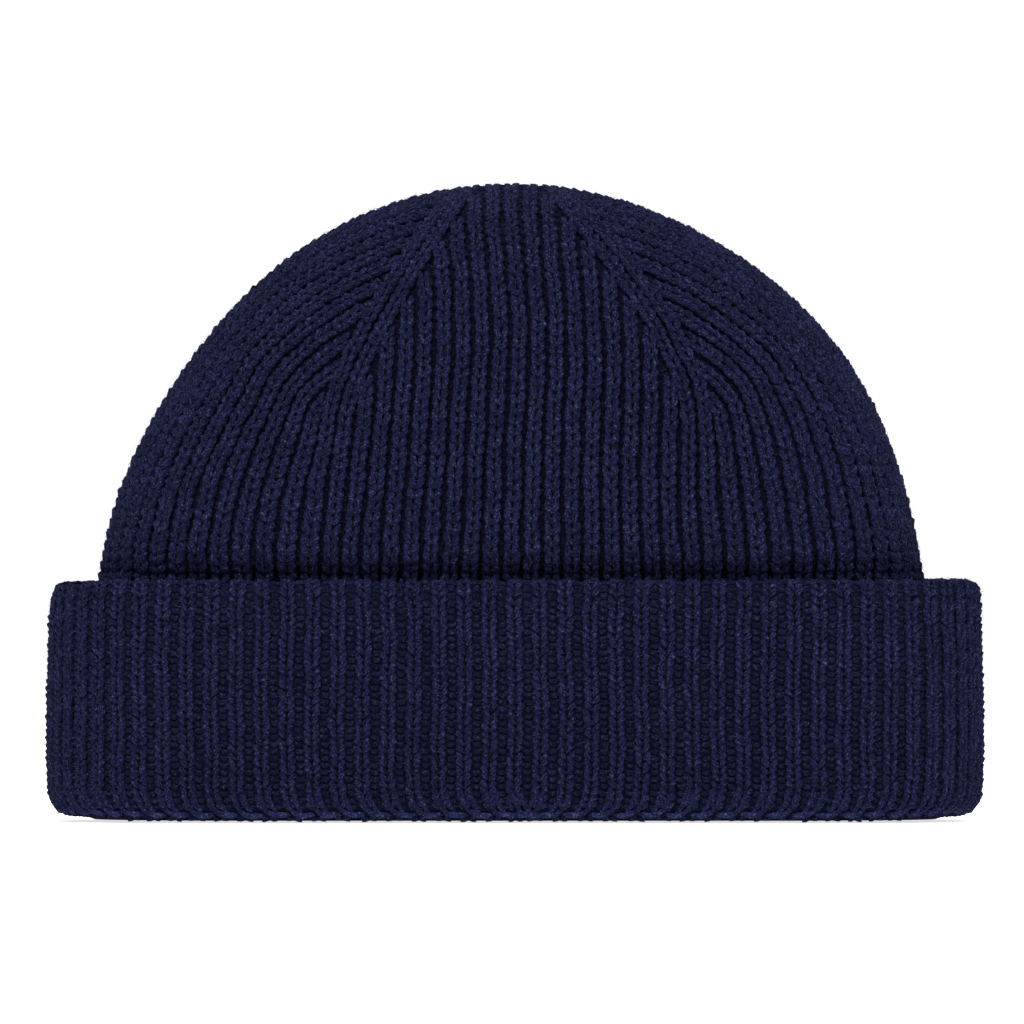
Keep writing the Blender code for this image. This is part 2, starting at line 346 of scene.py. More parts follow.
def set_inputs(tree, node, inputs):
    """Set a node's inputs to numbers, words or colours, or link them to other sockets."""
    for key, value in inputs.items():
        if isinstance(value, bpy.types.NodeSocket):
            tree.links.new(value, node.inputs[key])
        else:
            node.inputs[key].default_value = value


def add_node(tree, kind, inputs, **settings):
    node = tree.nodes.new(kind)
    for word, value in settings.items():
        setattr(node, word, value)
    set_inputs(tree, node, inputs)
    return node


def arithmetic(tree, operation, *values):
    """A sum in a node tree, on numbers and sockets."""
    node = add_node(tree, "ShaderNodeMath", dict(enumerate(values)), operation=operation)
    return node.outputs["Value"]


def add_noise(tree, place, scale, detail, roughness):
    """A noise texture read at a place."""
    return add_node(tree, "ShaderNodeTexNoise", {
        "Vector": place, "Scale": scale, "Detail": detail, "Roughness": roughness}).outputs["Fac"]


def add_mix(tree, share, first, colour):
    """A mix from a socket's colour to a fixed one."""
    mix = {"Factor": share, "A": first, "B": (*colour, 1.0)}
    return add_node(tree, "ShaderNodeMix", mix, data_type="RGBA").outputs["Result"]


def navy_wool(name, dark, light, fleck):
    """Start a matt wool: uneven navy dye with paler flecks. Gives its nodes to build on."""
    material = bpy.data.materials.new(name)
    material.use_nodes = True
    tree = material.node_tree
    place = add_node(tree, "ShaderNodeTexCoord", {}).outputs["Object"]
    dye = add_noise(tree, place, scale=1500.0, detail=6.0, roughness=0.65)
    tint = add_node(tree, "ShaderNodeValToRGB", {"Fac": dye})
    for element, position, colour in zip(tint.color_ramp.elements, (0.40, 0.62), (dark, light)):
        element.position = position
        element.color = (*colour, 1.0)
    specks = add_noise(tree, place, scale=2400.0, detail=2.0, roughness=0.5)
    speck = add_node(tree, "ShaderNodeMapRange", {"Value": specks, "From Min": 0.56,
                                                  "From Max": 0.74})
    colour = add_mix(tree, speck.outputs["Result"], tint.outputs["Color"], fleck)
    fibre = add_noise(tree, place, scale=2600.0, detail=3.0, roughness=0.5)
    bump = add_node(tree, "ShaderNodeBump", {"Strength": 1.0, "Distance": 0.00045})
    set_inputs(tree, tree.nodes["Principled BSDF"], {
        "Base Color": colour, "Normal": bump.outputs["Normal"], "Roughness": 0.95,
        "Specular IOR Level": 0.02, "Sheen Weight": 0.015, "Sheen Roughness": 0.6,
        "Sheen Tint": (0.45, 0.48, 0.85, 1.0)})
    return material, tree, dye, tint, colour, fibre, bump


def knitted_wall(name, dark, light, fleck):
    """The back of the fabric: rows of small loops across ribs, on the skin's own map."""
    material, tree, _, _, _, fibre, bump = navy_wool(name, dark, light, fleck)
    fabric = add_node(tree, "ShaderNodeUVMap", {}, uv_map="knit")
    apart = add_node(tree, "ShaderNodeSeparateXYZ", {"Vector": fabric.outputs["UV"]})
    across = arithmetic(tree, "PINGPONG", apart.outputs["X"], 0.5)
    slanted = arithmetic(tree, "SUBTRACT", apart.outputs["Y"],
                         arithmetic(tree, "MULTIPLY", across, 1.1))
    loops = arithmetic(tree, "SINE", arithmetic(tree, "MULTIPLY", slanted, 2.0 * math.pi))
    ribs = arithmetic(tree, "COSINE", arithmetic(tree, "MULTIPLY", across, 4.0 * math.pi))
    relief = arithmetic(tree, "ADD", arithmetic(tree, "MULTIPLY", loops, 0.8),
                        arithmetic(tree, "MULTIPLY", ribs, 0.6))
    set_inputs(tree, bump, {"Height": arithmetic(tree, "ADD", relief, fibre),
                            "Distance": 0.0005})
    return material


relief = np.tile(np.arange(columns) % 2, (len(row_heights), 1)).astype(float)
relief[~chart_live] = 1.0
near_ridge = smooth((row_heights - (top_height - ridge_reach)) / ridge_reach)
outer_inset = backing_crest + (backing_valley - backing_crest) * relief
outer_inset -= valley_rise_at_ridge * near_ridge[:, None] * relief
inner_inset = wall - inside_relief * (1.0 - relief)
outer_rings, inner_rings = [
    [swayed(whole_ring(points)) for points in chart_points - chart_normals * inset[..., None]]
    for inset in (outer_inset, inner_inset)]
row_courses = [row * chart_row_step / stitch_height for row in range(len(row_heights))]
# Outside, the wall wears a darker copy of the lining's wool: painted shade for the valleys.
painted_shade_wool = knitted_wall("shaded_wool", (0.0016, 0.0020, 0.0060), (0.0056, 0.0066, 0.0190),
                          (0.008, 0.010, 0.026))
lining_wool = knitted_wall("lining_wool", (0.0060, 0.0072, 0.0210), (0.0150, 0.0165, 0.0500),
                           (0.026, 0.032, 0.070))
crown_backing = ring_skin("crown_backing", outer_rings[::-1] + inner_rings,
                          row_courses[::-1] + row_courses, len(outer_rings), False,
                          (painted_shade_wool, lining_wool))
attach(crown_backing, "root")
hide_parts("crown")


# Crown ribs
# Each rib is a column of plump V-shaped stitches, point down, each drawn through the one below.
# The V is one short strand of plied yarn, and a node tree sets one on every place up every rib.

yarn_radius = 0.00097
leg_spread = 0.00126
crest_depth = 0.00090
strand_sides = 5
rib_drift = 0.00020
stray = 0.0008
fibre_radius = 0.00006
fibre_length = (0.0008, 0.0019)
fibre_root = 0.85
fibre_turn = (0.08 * math.pi, 0.92 * math.pi)
fibre_ahead = (0.5, 1.0)
fibre_away = (0.10, 0.55)
fibre_aside = (-0.4, 0.4)


def plied_yarn(name, dark, light, fleck):
    """Soft plied yarn: fibres run along the strand, and each stitch has its own tone. The grooves
    between the plies are painted a little darker as shade, and a tone above 1 is a painted
    highlight.
    """
    material, tree, dye, tint, colour, fibre, bump = navy_wool(name, dark, light, fleck)
    strand = add_node(tree, "ShaderNodeUVMap", {}, uv_map="yarn").outputs["UV"]
    winding = add_node(tree, "ShaderNodeVectorMath", {
        0: strand, 1: (4.0 * math.pi, 16.0 * math.pi, 0.0)}, operation="DOT_PRODUCT")
    ply = arithmetic(tree, "SINE", winding.outputs["Value"])
    # Each stitch's own tone, which on the hem's edge line also carries a painted highlight.
    tone_and_highlight = add_node(tree, "ShaderNodeAttribute", {}, attribute_name="tone").outputs["Fac"]
    part = add_node(tree, "ShaderNodeCombineXYZ", {"Z": arithmetic(tree, "MULTIPLY", tone_and_highlight, 60.0)})
    spread = add_node(tree, "ShaderNodeVectorMath", {
        0: strand, 1: (20.0, 9.0, 0.0), 2: part.outputs["Vector"]}, operation="MULTIPLY_ADD")
    streak = add_noise(tree, spread.outputs["Vector"], scale=1.0, detail=3.0, roughness=0.7)
    mixed = arithmetic(tree, "MULTIPLY_ADD", streak, 0.6, arithmetic(tree, "MULTIPLY", dye, 0.4))
    set_inputs(tree, tint, {"Fac": mixed})
    relief = arithmetic(tree, "MULTIPLY_ADD", streak, 1.2, fibre)
    set_inputs(tree, bump, {"Height": arithmetic(tree, "MULTIPLY_ADD", ply, 0.08, relief)})
    # Painted shade: the colour darks a little along the grooves of the twisted plies, and the tone
    # scales it.
    ply_shade_tone_and_highlight = arithmetic(tree, "MULTIPLY_ADD", ply, 0.06, tone_and_highlight)
    toned = add_node(tree, "ShaderNodeVectorMath", {}, operation="SCALE")
    set_inputs(tree, toned, {0: colour, "Scale": ply_shade_tone_and_highlight})
    apart = add_node(tree, "ShaderNodeSeparateXYZ", {"Vector": strand})
    loose = arithmetic(tree, "GREATER_THAN", apart.outputs["X"], 1.5)
    halo = add_mix(tree, loose, toned.outputs["Vector"], fleck)
    set_inputs(tree, tree.nodes["Principled BSDF"], {"Base Color": halo})
    return material


def beside(ahead):
    """The directions to the side and out of a strand that runs ahead."""
    side = ahead.cross(Vector((0.0, 1.0, 0.0))).normalized()
    return side, side.cross(ahead).normalized()


def add_fibres(surface, uv, path, radii, count, seed):
    """Loose fibres that stand out of a strand, each a long thin closed spike."""
    chance = random.Random(seed)
    tucked = len(path) // 5
    for _ in range(count):
        step = chance.randrange(tucked, len(path) - 1 - tucked)
        share = chance.random()
        ahead = (path[step + 1] - path[step]).normalized()
        side, out = beside(ahead)
        turn = chance.uniform(*fibre_turn)
        away = side * math.cos(turn) + out * math.sin(turn)
        root = path[step].lerp(path[step + 1], share) + away * (fibre_root * radii[step])
        way = ahead * chance.choice((-1.0, 1.0)) * chance.uniform(*fibre_ahead)
        way += away * chance.uniform(*fibre_away) + side * chance.uniform(*fibre_aside)
        tip = surface.verts.new(root + way.normalized() * chance.uniform(*fibre_length))
        across = way.cross(away).normalized() * fibre_radius
        up = way.cross(across).normalized() * fibre_radius
        foot = [surface.verts.new(root + across * math.cos(angle) + up * math.sin(angle))
                for angle in (0.0, 2.0 * math.pi / 3.0, 4.0 * math.pi / 3.0)]
        faces = [surface.faces.new(foot[::-1])]
        faces += [surface.faces.new((foot[corner - 1], foot[corner], tip))
                  for corner in (1, 2, 0)]
        for face in faces:
            for loop in face.loops:
                loop[uv].uv = (2.0, share)


def strand_mesh(name, path, radii, fibres, seed):
    """A closed strand of yarn through points in the plane of the fabric: across, out, along."""
    path = [Vector(point) for point in path]
    surface = bmesh.new()
    uv = surface.loops.layers.uv.new("yarn")
    rings = []
    lengths = [0.0]
    for step, point in enumerate(path):
        before = path[max(step - 1, 0)]
        after = path[min(step + 1, len(path) - 1)]
        side, out = beside((after - before).normalized())
        ring = []
        for corner in range(strand_sides):
            turn = 2.0 * math.pi * corner / strand_sides
            offset = side * math.sin(turn) - out * math.cos(turn)
            ring.append(surface.verts.new(point + offset * radii[step]))
        rings.append(ring)
        if step:
            lengths.append(lengths[-1] + (point - path[step - 1]).length)
    along = [length / lengths[-1] for length in lengths]
    join_rings(surface, rings, len(rings) - 1, uv, strand_sides, along)
    surface.faces.new(rings[0])
    surface.faces.new(rings[-1][::-1])
    add_fibres(surface, uv, path, radii, fibres, seed)
    bmesh.ops.recalc_face_normals(surface, faces=surface.faces)
    mesh = bpy.data.meshes.new(name)
    surface.to_mesh(mesh)
    surface.free()
    mesh.shade_smooth()
    return bpy.data.objects.new(name, mesh)


# One leg of a V, as shares of the spread across, the yarn's radius out and the height up
leg_points = ((0.46, -0.12, 0.06), (0.96, 0.12, 0.58), (1.00, -1.00, 1.16))
point_out = -1.25
point_up = -0.26
leg_lift = 0.12
leg_fullness = 0.10


def v_stitch(name, spread, height, radius, heavier, fibres, seed):
    """A V-shaped stitch. Its point comes from behind and its ends tuck behind the next one."""
    def leg(side, share):
        return [(side * across * spread, out * radius, up * height * lift)
                for (across, out, up), lift in zip(leg_points, (share, share, 1.0))]

    left = leg(-1.0, 1.0 + leg_lift * heavier)
    right = leg(1.0, 1.0 - leg_lift * heavier)
    path = left[::-1] + [(0.0, point_out * radius, point_up * height)] + right
    fuller = 1.0 + leg_fullness * heavier
    slimmer = 1.0 - leg_fullness * heavier
    radii = [0.55, 1.08 * fuller, 0.90, 0.55, 0.90, 1.08 * slimmer, 0.55]
    return strand_mesh(name, path, [share * radius for share in radii], fibres, seed)


def stitch_box(name, stitches):
    """A box of slightly different stitches to knit with."""
    box = bpy.data.collections.new(name)
    for stitch in stitches:
        box.objects.link(stitch)
    return box


def v_stitches(name, spread, height, radius, heavier, fibres, seed):
    """A box of V stitches, one for each share of a left leg heavier than its right."""
    return stitch_box(name + "es", [
        v_stitch(name + "_" + str(kind), spread, height, radius, share, fibres, seed + kind)
        for kind, share in enumerate(heavier)])


def new_tree(name, sockets):
    """A node tree with its named inputs and the nodes where its work starts and ends."""
    tree = bpy.data.node_groups.new(name, "GeometryNodeTree")
    for word, kind in sockets:
        tree.interface.new_socket(word, in_out="INPUT", socket_type="NodeSocket" + kind)
    tree.interface.new_socket("Geometry", in_out="OUTPUT", socket_type="NodeSocketGeometry")
    return tree, tree.nodes.new("NodeGroupInput").outputs, tree.nodes.new("NodeGroupOutput")


def named(tree, kind, word):
    """Read a named attribute in a node tree."""
    node = add_node(tree, "GeometryNodeInputNamedAttribute", {"Name": word}, data_type=kind)
    return node.outputs["Attribute"]


def end_tree(tree, geometry, yarn, result):
    """Make what a tree has set real, and give it the yarn."""
    real = add_node(tree, "GeometryNodeRealizeInstances", {"Geometry": geometry})
    dyed = add_node(tree, "GeometryNodeSetMaterial", {
        "Geometry": real.outputs["Geometry"], "Material": yarn})
    set_inputs(tree, result, {"Geometry": dyed.outputs["Geometry"]})


def shown(sockets, word):
    """The one socket of a name that a node shows."""
    return next(socket for socket in sockets if socket.name == word and socket.enabled)


def random_value(tree, kind, given, offset):
    """Random values of a kind, on a seed of their own."""
    seed = arithmetic(tree, "ADD", given["Seed"], offset)
    return add_node(tree, "FunctionNodeRandomValue", {"Seed": seed}, data_type=kind)


def stitch_tree(name):
    """A node tree that sets a stitch on every point, along its rib and out of the fabric."""
    tree, given, result = new_tree(name, (
        ("Geometry", "Geometry"), ("Stitches", "Collection"), ("Kinds", "Int"),
        ("Yarn", "Material"), ("Looseness", "Float"), ("Unevenness", "Float"), ("Seed", "Int")))
    stitches = add_node(tree, "GeometryNodeCollectionInfo", {
        "Collection": given["Stitches"], "Separate Children": True, "Reset Children": True})
    upward = add_node(tree, "FunctionNodeAlignRotationToVector", {
        "Vector": named(tree, "FLOAT_VECTOR", "along")}, axis="Z")
    outward = add_node(tree, "FunctionNodeAlignRotationToVector", {
        "Rotation": upward.outputs["Rotation"],
        "Vector": named(tree, "FLOAT_VECTOR", "outward")}, axis="Y", pivot_axis="Z")
    kind = random_value(tree, "INT", given, 100.0)
    shown(kind.inputs, "Min").default_value = 0
    last_kind = arithmetic(tree, "SUBTRACT", given["Kinds"], 1.0)
    tree.links.new(last_kind, shown(kind.inputs, "Max"))
    place = add_node(tree, "GeometryNodeInstanceOnPoints", {
        "Points": given["Geometry"], "Instance": stitches.outputs["Instances"],
        "Pick Instance": True, "Instance Index": shown(kind.outputs, "Value"),
        "Rotation": outward.outputs["Rotation"], "Scale": named(tree, "FLOAT_VECTOR", "size")})
    wobble = random_value(tree, "FLOAT_VECTOR", given, 200.0)
    shown(wobble.inputs, "Min").default_value = (-1.0, -1.0, -1.0)
    wobbled = add_node(tree, "ShaderNodeVectorMath", {}, operation="SCALE")
    set_inputs(tree, wobbled, {0: shown(wobble.outputs, "Value"), "Scale": given["Looseness"]})
    turned = add_node(tree, "GeometryNodeRotateInstances", {
        "Instances": place.outputs["Instances"], "Rotation": wobbled.outputs["Vector"]})
    tone = random_value(tree, "FLOAT", given, 300.0)
    for operation, word in (("SUBTRACT", "Min"), ("ADD", "Max")):
        limit = arithmetic(tree, operation, 1.0, given["Unevenness"])
        tree.links.new(limit, shown(tone.inputs, word))
    kept = add_node(tree, "GeometryNodeStoreNamedAttribute", {
        "Geometry": turned.outputs["Instances"], "Name": "tone"},
        data_type="FLOAT", domain="INSTANCE")
    tree.links.new(shown(tone.outputs, "Value"), shown(kept.inputs, "Value"))
    end_tree(tree, kept.outputs["Geometry"], given["Yarn"], result)
    return tree


def hold(holder, kind, word, values):
    """Store values on the points of a piece for its node tree."""
    layer = holder.data.attributes.new(word, kind, "POINT")
    field = "vector" if kind == "FLOAT_VECTOR" else "value"
    layer.data.foreach_set(field, np.asarray(values, dtype=np.float32).ravel())


def run_tree(holder, tree, values):
    """Run a node tree with its inputs set, and keep what it makes as the piece's plain mesh."""
    setting = holder.modifiers.new(tree.name, "NODES")
    setting.node_group = tree
    for item in tree.interface.items_tree:
        if item.in_out == "INPUT" and item.name in values:
            setting[item.identifier] = values[item.name]
    bpy.context.view_layer.update()
    made = holder.evaluated_get(bpy.context.evaluated_depsgraph_get())
    mesh = bpy.data.meshes.new_from_object(made)
    holder.modifiers.remove(setting)
    holder.data = mesh
    mesh.name = holder.name
    return holder


stitches_on_points = stitch_tree("stitches_on_points")


def knit(name, places, stitches, yarn, looseness, unevenness, seed):
    """Set a stitch on every place, given as points, ways along and outward, and sizes."""
    holder = add_piece(name, places[0], [])
    words = ("along", "outward", "size")
    for word, values in zip(words, places[1:]):
        hold(holder, "FLOAT_VECTOR", word, values)
    run_tree(holder, stitches_on_points, {
        "Stitches": stitches, "Kinds": len(stitches.objects), "Yarn": yarn,
        "Looseness": looseness, "Unevenness": unevenness, "Seed": seed})
    attributes = holder.data.attributes
    for word in words:
        if word in attributes:
            attributes.remove(attributes[word])
    return holder


def drifted(points, normals, reach):
    """Ribs of a soft knit are never quite straight: they drift together to either side."""
    across = unit(np.cross(normals, np.gradient(points, axis=0)))
    x, y, z = points.T
    drift = (np.sin(2.0 * math.pi * (z / 0.047 + x / 0.12 + 0.1))
             + 0.6 * np.sin(2.0 * math.pi * (z / 0.021 - x / 0.034 + y / 0.06 + 0.4))
             + 0.4 * np.sin(2.0 * math.pi * (z / 0.0115 + x / 0.017 + 0.7)))
    return points + across * (reach * drift)[:, None]


def read_at(distance, arc, values):
    """Rows of values at distances along a line."""
    return np.stack([np.interp(distance, arc, column) for column in values.T], axis=-1)


def rib_places(points, normals, widths, pitch, start):
    """Places up a line of points: where each stitch starts, its directions, width and height."""
    arc = arc_along(points)
    count = max(int(round((arc[-1] - start) / pitch)), 1)
    step = (arc[-1] - start) / count
    starts = start + step * np.arange(count)
    at = read_at(starts, arc, points)
    ahead = unit(read_at(np.minimum(starts + step, arc[-1]), arc, points) - at)
    out = read_at(starts + 0.5 * step, arc, normals)
    wide = np.interp(starts + 0.5 * step, arc, widths)
    return at, ahead, out, wide, np.full(count, step)


def quarter_flips(column, last_column):
    """The quarters that a column of a plan is copied to, with the centre lines made once."""
    flips = [np.array([1.0, 1.0, 1.0])]
    if column > 0:
        flips.append(np.array([-1.0, 1.0, 1.0]))
    if column < last_column:
        flips += [flip * (1.0, -1.0, 1.0) for flip in flips]
    return flips


def sized(groups, width, height, unevenness, seed):
    """Join groups of places, and turn widths and heights into shares of the stitch's own size."""
    at, ahead, out, wide, step = [np.concatenate([group[part] for group in groups])
                                  for part in range(5)]
    chance = np.random.default_rng(seed)
    vary = 1.0 + unevenness * chance.uniform(-1.0, 1.0, (len(wide), 3))
    size = np.stack([wide / width, np.ones(len(wide)), step / height], axis=1) * vary
    aside = np.cross(out, ahead)
    at = at + aside * (unevenness * stray * chance.uniform(-1.0, 1.0, (len(wide), 1)))
    return at, ahead, out, size


visible_from = 0.0535
first_row = int(np.searchsorted(row_heights, visible_from))
tuck_length = 0.0030
tuck_depth = 0.0007
tuck_width = 0.8
latest_start = 0.25


def crown_column(column, depth, ridge_rise):
    """The line up one column of the crown, with its widths. A rib that ends is tucked under."""
    live = chart_live[first_row:, column]
    last = len(live) if live.all() else int(np.argmin(live))
    if last < 3:
        return None
    rows = slice(first_row, first_row + last)
    normals = chart_normals[rows, column]
    depths = depth - ridge_rise * near_ridge[rows]
    points = chart_points[rows, column] - normals * depths[:, None]
    widths = chart_widths[rows, column]
    if not live.all():
        onward = points[-1] - points[-3]
        onward *= tuck_length / np.linalg.norm(onward)
        points = np.append(points, [points[-1] + onward - normals[-1] * tuck_depth], axis=0)
        normals = np.append(normals, normals[-1:], axis=0)
        widths = np.append(widths, tuck_width * widths[-1])
    return points, normals, widths


def crown_places(first, depth, ridge_rise):
    """The places up every other column of the crown, on each quarter that the column is on."""
    for column in range(first, columns, 2):
        line = crown_column(column, depth, ridge_rise)
        if line is None:
            continue
        for flip in quarter_flips(column, columns - 1):
            points, normals, widths = line[0] * flip, line[1] * flip, line[2]
            start = stitch_height * chance.uniform(0.0, latest_start)
            strayed = swayed(drifted(points, normals, rib_drift))
            places = rib_places(strayed, normals, widths, stitch_height, start)
            yield column, flip, places


crown_fibres = 8
crown_looseness = 0.10
rib_tones = 0.20
rib_sizes = 0.07
crown_stitches = v_stitches("crown_stitch", leg_spread, stitch_height, yarn_radius,
                            (0.0, 1.0, -1.0, 0.5, -0.5, 0.0), crown_fibres, 0)
crown_yarn = plied_yarn("crown_yarn", (0.0013, 0.0018, 0.0062), (0.0093, 0.0111, 0.0450),
                        (0.052, 0.060, 0.140))
frame_column = front_ribs - 1
chance = np.random.default_rng(7)
parts = {"crown_ribs_" + side: [] for side in ("front", "back", "right", "left")}
for column, flip, places in crown_places(0, crest_depth, 0.0):
    if column <= frame_column:
        side = "front" if flip[1] > 0.0 else "back"
    else:
        side = "right" if flip[0] > 0.0 else "left"
    parts["crown_ribs_" + side].append(places)
for seed, (name, groups) in enumerate(parts.items()):
    places = sized(groups, pitch_at_base, stitch_height, rib_sizes, seed)
    ribs = knit(name, places, crown_stitches, crown_yarn, crown_looseness, rib_tones, seed)
    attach(ribs, "root")


# Crown valleys
# Between two ribs the yarn crosses from one to the next, one short bar to each course, sunk deep.

bar_radius = 0.00042
bar_depth = 0.0024
bar_looseness = 0.12
bar_tones = 0.25
bar_sizes = 0.15


def bar_stitch(name, width, radius, fibres, seed):
    """A short bar across a valley, with its ends sunk behind the ribs."""
    path = [(-0.5 * width, -0.9 * radius, 0.25 * radius), (0.0, 0.0, -0.2 * radius),
            (0.5 * width, -0.9 * radius, 0.25 * radius)]
    return strand_mesh(name, path, [0.7 * radius, radius, 0.7 * radius], fibres, seed)


# The bars wear their own copy of the yarn, with dimmer flecks: painted shade for the deep valleys.
painted_shade_yarn = plied_yarn("shaded_yarn", (0.0016, 0.0022, 0.0066), (0.0122, 0.0142, 0.0430),
                        (0.020, 0.024, 0.056))
crown_bar = bar_stitch("crown_bar", 0.5 * pitch_at_base, bar_radius, 0, 0)
crown_bars = stitch_box("crown_bars", [crown_bar])
parts = {"crown_valleys_" + side: [] for side in ("front", "back")}
for _, flip, places in crown_places(1, bar_depth, valley_rise_at_ridge):
    parts["crown_valleys_" + ("front" if flip[1] > 0.0 else "back")].append(places)
for seed, (name, groups) in enumerate(parts.items()):
    places = sized(groups, pitch_at_base, stitch_height, bar_sizes, seed)
    valleys = knit(name, places, crown_bars, painted_shade_yarn, bar_looseness, bar_tones, 10 + seed)
    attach(valleys, "root")


# Cuff form
# The cuff is the lower part of the same tube turned up on the outside, in plain rib. Its plan is
# a long oval, and its section runs from under the fold up the outside and over the top edge.

cuff_half_width, cuff_half_depth, _ = cuff_high
cuff_roll = 0.048
cuff_wall = 0.0039
cuff_columns = front_ribs + side_ribs
hem_height = 0.0080
rib_end = 0.0036
hem_power = 1.3
hem_drift = 0.0013
hem_drift_at_sides = 0.0019
sides_from = 0.035
sides_reach = 0.070
drift_fade = 0.006
corner_from = 0.088
corner_width = 0.030
corner_reach = 0.0085
corner_rounding = 0.0024
corner_lift = 0.0014
left_top_drop = 0.0020
left_drop_from = 0.099
left_drop_width = 0.018
left_corner_drop = 0.0040
right_corner_drop = 0.0022
end_drop_from = 0.1105
end_drop_width = 0.0070
drop_from = 0.040
drop_reach = 0.018
plan_steps = 200
section_steps = 160
section_fine_steps = 400
section_smoothing = 60


def plan_quarter(width, depth, roll, steps):
    """Points and outward directions at equal steps along a quarter of the oval, front to side."""
    x = width * (1.0 - np.linspace(0.0, 1.0, plan_steps) ** roll_crowding)
    arc = arc_along(np.stack([x, -depth * rolled(width - x, roll)], axis=1))
    x = np.interp(arc[-1] * (1.0 - np.linspace(0.0, 1.0, steps + 1)), arc, x)
    share = rolled(width - x, roll)
    normal = np.stack([roll_slope(width - x, roll), -share ** (roll_power - 1.0) / depth,
                       np.zeros(len(x))], axis=1)
    points = np.stack([x, -depth * share, np.zeros(len(x))], axis=1)
    return points, unit(normal), arc[-1] / steps


cuff_plan, cuff_out, half_rib = plan_quarter(cuff_half_width, cuff_half_depth, cuff_roll,
                                             cuff_columns)
plan_arc = arc_along(cuff_plan)
full_arc = plan_arc[-1]


def on_plan(arc):
    """Points and outward directions on the oval, at distances from the middle of the front."""
    return read_at(arc, plan_arc, cuff_plan), unit(read_at(arc, plan_arc, cuff_out))


def hem_shift(arc, height):
    """How far the ribs are drawn along the fold towards the middle, near the floor."""
    low = np.clip(1.0 - height / hem_height, 0.0, 1.0) ** hem_power
    at_sides = smooth((arc - sides_from) / sides_reach)
    held = np.clip(np.minimum(arc, full_arc - arc) / drift_fade, 0.0, 1.0)
    return (hem_drift + hem_drift_at_sides * at_sides) * low * held


# The section of the cuff's outer face: how far in from its widest line, and how high
cuff_section = (
    (0.0052, 0.0003), (0.0036, 0.0003), (0.0021, 0.0012), (0.0010, 0.0032), (0.0003, 0.0080),
    (0.0000, 0.0180), (0.0002, 0.0330), (0.0006, 0.0480), (0.0007, 0.0570), (0.0009, 0.0597),
    (0.0016, 0.0612), (0.0026, 0.0616), (0.0036, 0.0609), (0.0040, 0.0590), (0.0040, 0.0520),
)


def section_curve(rows, steps):
    """A smooth line through the rows of a section, at equal steps."""
    rows = np.array(rows)
    knots = arc_along(rows)
    line = read_at(np.linspace(0.0, knots[-1], section_fine_steps), knots, rows)
    for _ in range(section_smoothing):
        line[1:-1] = 0.25 * line[:-2] + 0.5 * line[1:-1] + 0.25 * line[2:]
    arc = arc_along(line)
    return read_at(np.linspace(0.0, arc[-1], steps), arc, line)


section = section_curve(cuff_section, section_steps)
section_run = unit(np.gradient(section, axis=0))
section_out = section_run[:, ::-1]
rib_end_row = int(np.argmax(section[:, 1] > rib_end))


def settled(points):
    """Round the fold's two corners and the ends of the top edge, as the hat stands."""
    moved = points.copy()
    x, z = points[..., 0], points[..., 2]
    cornered = smooth((np.abs(x) - corner_from) / corner_width)
    near_fold = np.clip(1.0 - z / corner_reach, 0.0, 1.0) ** 2.0
    moved[..., 0] -= np.sign(x) * corner_rounding * cornered * near_fold
    moved[..., 2] += corner_lift * cornered * near_fold
    dropped = left_top_drop * smooth((-left_drop_from - x) / left_drop_width)
    corner_drop = np.where(x < 0.0, left_corner_drop, right_corner_drop)
    dropped += corner_drop * smooth((np.abs(x) - end_drop_from) / end_drop_width) ** 2
    moved[..., 2] -= dropped * smooth((z - drop_from) / drop_reach)
    return moved


def cuff_line(column, depth):
    """The line up one column of the cuff, at a depth under its outer face."""
    inset = section[:, 0] + depth * section_out[:, 0]
    plan, out = on_plan(plan_arc[column] - hem_shift(plan_arc[column], section[:, 1]))
    points = plan - out * inset[:, None]
    points[:, 2] = section[:, 1] - depth * section_out[:, 1]
    normals = out * section_out[:, :1]
    normals[:, 2] = section_out[:, 1]
    return points, normals


# Cuff backing
# The closed fabric behind the cuff's stitches: from under the fold up the outside, over the top
# edge and down inside to the fold again, where the crown's band stands on it.

cuff_backing_crest = 0.0011
cuff_backing_valley = 0.0014
hem_swell = 0.0004
swell_height = 0.0040
swell_width = 0.0026
lining_top = 0.040
lining_end = 0.0046
band_end = 0.0042
fold_inside = 0.0006
backing_step = 3
course_of_ring = 0.9
rings = []
for row in range(0, len(section), backing_step):
    swell = hem_swell * math.exp(-((section[row, 1] - swell_height) / swell_width) ** 2)
    ring = []
    for column in range(cuff_columns + 1):
        sunk = cuff_backing_crest if column % 2 == 0 else cuff_backing_valley
        ring.append(cuff_line(column, sunk - swell)[0][row])
    rings.append(whole_ring(settled(np.array(ring))))
outside_rings = len(rings)
for height in (lining_top, lining_end):
    rings.append(whole_ring(cuff_plan - cuff_out * cuff_wall + (0.0, 0.0, height)))
fold_edge, _, _ = plan_quarter(half_width(crown_low[2]) - wall, half_depth(crown_low[2]) - wall,
                               crown_roll, cuff_columns)
for height in (band_end, fold_inside):
    rings.append(whole_ring(fold_edge + (0.0, 0.0, height)))
cuff_courses = [course_of_ring * row for row in range(len(rings))]
# Outside it wears the darker wool of painted shade, inside the lining's wool.
cuff_backing = ring_skin("cuff_backing", rings, cuff_courses, outside_rings, True,
                         (painted_shade_wool, lining_wool))
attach(cuff_backing, "root")
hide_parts("cuff")


# Cuff ribs
# The cuff's stitches are flatter than the crown's: the same V, but less than two millimetres high,
# on ribs that stand further apart. At the top edge the last courses swell and roll over.

